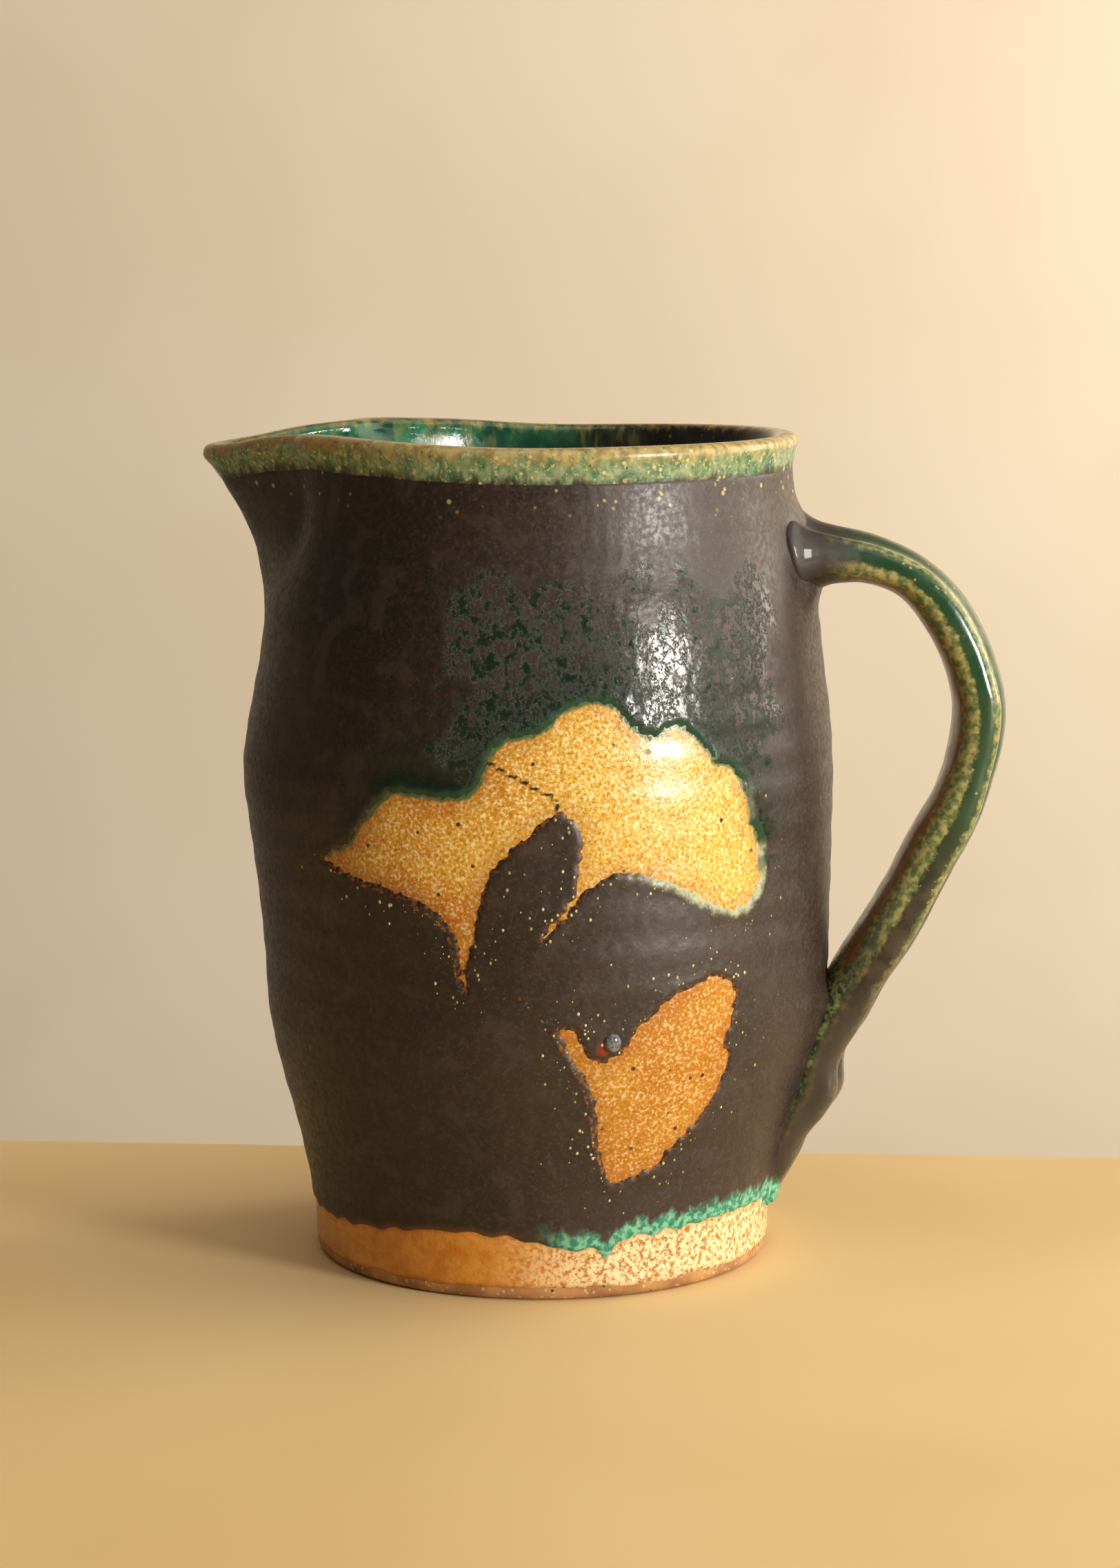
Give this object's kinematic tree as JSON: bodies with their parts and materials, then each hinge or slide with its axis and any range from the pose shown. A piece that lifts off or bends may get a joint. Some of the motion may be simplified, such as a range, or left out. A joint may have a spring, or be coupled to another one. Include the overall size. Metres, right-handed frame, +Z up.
{
  "type": "ceramic pitcher",
  "caption": "Hand-thrown stoneware pitcher with a pinched pouring spout, a pulled strap handle, dark glaze with amber leaf windows and a pale green rim.",
  "frame": {"origin": "centre of the flat foot, on the axis that the pot was thrown on", "axes": "+Z up along the throwing axis, +X towards the handle, the spout near -X, the leaf windows towards -Y"},
  "size_m": [0.1868, 0.1362, 0.1913],
  "materials": {
    "stoneware_clay": "bare fired clay, matt",
    "handle_clay": "bare fired clay, matt",
    "luting_slip": "fired slip, matt",
    "amber_glaze": "glossy amber glaze with pale grains",
    "dark_glaze": "satin brown-black glaze",
    "rim_glaze": "glossy tan and green glaze",
    "liner_glaze": "glossy dark green glaze",
    "handle_glaze": "glossy olive and brown-black glaze",
    "glaze_bead": "glossy grey bead of glaze"
  },
  "bodies": {
    "root": {"vessel": "stoneware_clay", "handle": "handle_clay", "upper_slip_joint": "luting_slip", "lower_slip_joint": "luting_slip", "amber_glaze": "amber_glaze", "dark_glaze": "dark_glaze", "rim_glaze": "rim_glaze", "liner_glaze": "liner_glaze", "handle_glaze": "handle_glaze", "glaze_bead": "glaze_bead"}
  },
  "joints": []
}
